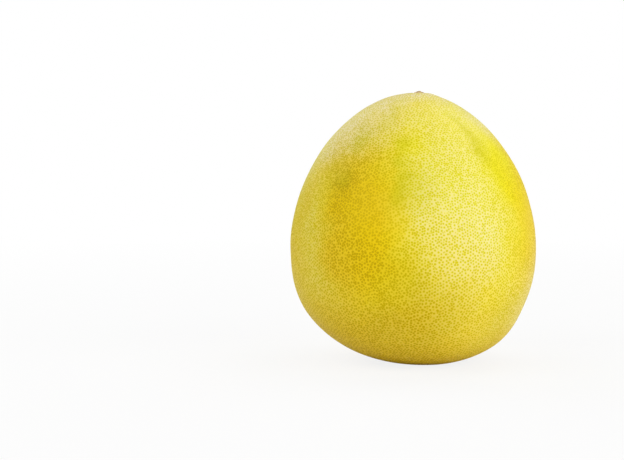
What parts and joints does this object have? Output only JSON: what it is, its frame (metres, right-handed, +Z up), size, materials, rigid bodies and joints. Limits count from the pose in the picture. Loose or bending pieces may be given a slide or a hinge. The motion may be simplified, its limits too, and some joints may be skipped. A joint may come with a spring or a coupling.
{
  "type": "pomelo",
  "caption": "Whole ripe pomelo, pear-shaped with a pitted yellow rind, standing on its blossom end with a dry stem button in the crown.",
  "frame": {"origin": "middle of the small flat spot at the blossom end, on which the fruit stands", "axes": "+Z up from the blossom end to the stem, +X to the fruit's right, +Y to its back; the stem button lies a few millimetres off the Z axis"},
  "size_m": [0.15, 0.15, 0.165],
  "materials": {
    "rind": "semi-matt waxy fruit skin, finely pitted with oil glands, pale yellow with gold and green patches",
    "dry_stem": "dry, rough and matt"
  },
  "bodies": {
    "root": {"fruit": "rind", "stem_button": "dry_stem"}
  },
  "joints": []
}
